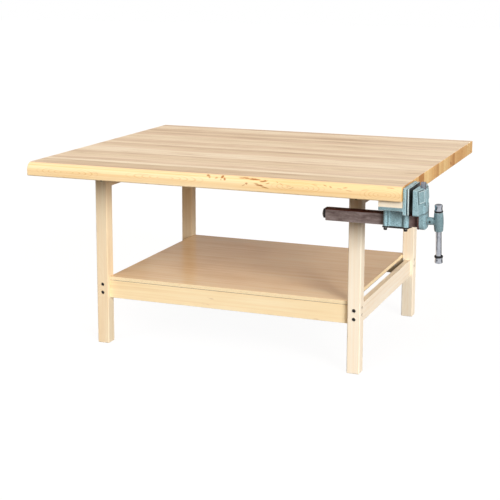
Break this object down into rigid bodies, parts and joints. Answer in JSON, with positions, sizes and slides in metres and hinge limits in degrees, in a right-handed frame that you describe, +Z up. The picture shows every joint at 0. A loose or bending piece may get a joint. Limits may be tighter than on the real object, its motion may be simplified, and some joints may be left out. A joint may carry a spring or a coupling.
{
  "type": "workbench",
  "caption": "Wide laminated maple workbench on a bolted square-leg frame with a lower shelf, carrying a cast woodworking vise with pivoting jaw plate, sliding dog and bar handle.",
  "frame": {"origin": "middle of the object's bounding box at floor level, vise handle included", "axes": "+X along the top towards the vise, +Y from the front edge (vise side) to the rear edge, +Z up"},
  "size_m": [1.765, 1.3716, 0.834],
  "materials": {
    "maple_top": "laminated hard maple, oiled satin",
    "maple_leg": "hard maple, clear lacquer",
    "maple_rail": "hard maple, clear lacquer",
    "shelf_board": "tan hardwood panel, satin lacquer",
    "cleat_wood": "planed maple, unfinished",
    "spacer_wood": "planed pale maple, unfinished",
    "enamelled_casting": "blue-grey hammered enamel on iron",
    "oxidised_steel": "hot-rolled steel with a brown oxide",
    "screw_steel": "oiled turned steel",
    "black_steel": "black oxide",
    "zinc_steel": "bright zinc plate",
    "dog_steel": "ground steel",
    "bronze_nut": "cast bronze",
    "chrome": "polished chrome plate",
    "rubber": "soft black rubber",
    "nylon": "white nylon"
  },
  "bodies": {
    "bench": {"bench_top": "maple_top", "leg_front_left": "maple_leg", "leg_front_right": "maple_leg", "leg_rear_left": "maple_leg", "leg_rear_right": "maple_leg", "upper_end_rail_left": "maple_rail", "lower_end_rail_left": "maple_rail", "upper_end_rail_right": "maple_rail", "lower_end_rail_right": "maple_rail", "front_rail": "maple_rail", "rear_rail": "maple_rail", "shelf_panel": "shelf_board", "shelf_cleat_front": "cleat_wood", "shelf_cleat_rear": "cleat_wood", "vise_spacer_block": "spacer_wood", "end_frame_bolts": "black_steel", "end_frame_washers": "black_steel", "end_frame_nuts": "zinc_steel", "long_rail_bolts": "black_steel", "long_rail_washers": "black_steel", "long_rail_nuts": "zinc_steel", "top_lag_screws": "zinc_steel", "top_lag_washers": "zinc_steel", "cleat_screws": "zinc_steel", "shelf_screws": "zinc_steel", "vise_mounting_screws": "zinc_steel", "vise_face_screws": "zinc_steel", "vise_body": "enamelled_casting", "keeper_plate": "black_steel", "keeper_bolts": "black_steel", "keeper_lock_washers": "zinc_steel", "screw_nut": "bronze_nut", "screw_nut_screws": "black_steel"},
    "jaw_carriage": {"front_jaw": "enamelled_casting", "bar_mount_plate": "oxidised_steel", "bar_mount_screws": "black_steel", "slide_bar": "oxidised_steel", "bar_end_plate": "black_steel", "bar_end_screws": "zinc_steel", "dog_friction_pad": "nylon", "dog_set_screw": "black_steel"},
    "screw": {"main_screw": "screw_steel", "screw_collar": "screw_steel", "collar_pin": "zinc_steel", "tail_collar": "screw_steel", "thrust_washer": "zinc_steel", "handle_hub": "enamelled_casting", "hub_set_screw": "black_steel"},
    "handle": {"handle_rod": "chrome", "handle_cap_upper": "chrome", "handle_cap_lower": "chrome", "handle_ring_upper": "rubber", "handle_ring_lower": "rubber"},
    "pivot_plate": {"pivot_jaw_plate": "enamelled_casting"},
    "dog": {"dog": "dog_steel"}
  },
  "joints": [
    {"name": "jaw_slide", "type": "slide", "parent": "bench", "child": "jaw_carriage", "axis": [1, 0, 0], "range_m": [-0.0091, 0.2156]},
    {"name": "screw_turn", "type": "hinge", "parent": "jaw_carriage", "child": "screw", "pos_m": [0.8199, -0.5788, 0.684], "axis": [1, 0, 0], "range_deg": [-515, 12220]},
    {"name": "jaw_plate_pivot", "type": "hinge", "parent": "bench", "child": "pivot_plate", "pos_m": [0.7529, -0.5788, 0.765], "axis": [0, 0, 1], "range_deg": [-2.3, 2.3]},
    {"name": "handle_slide", "type": "slide", "parent": "screw", "child": "handle", "axis": [0, -0.1305, 0.9914], "range_m": [0, 0.1]},
    {"name": "dog_lift", "type": "slide", "parent": "jaw_carriage", "child": "dog", "axis": [0, 0, 1], "range_m": [-0.015, 0.008]}
  ],
  "couplings": [
    {"joint": "jaw_slide", "follows": "screw_turn", "m_per_rad": 0.0010106}
  ]
}
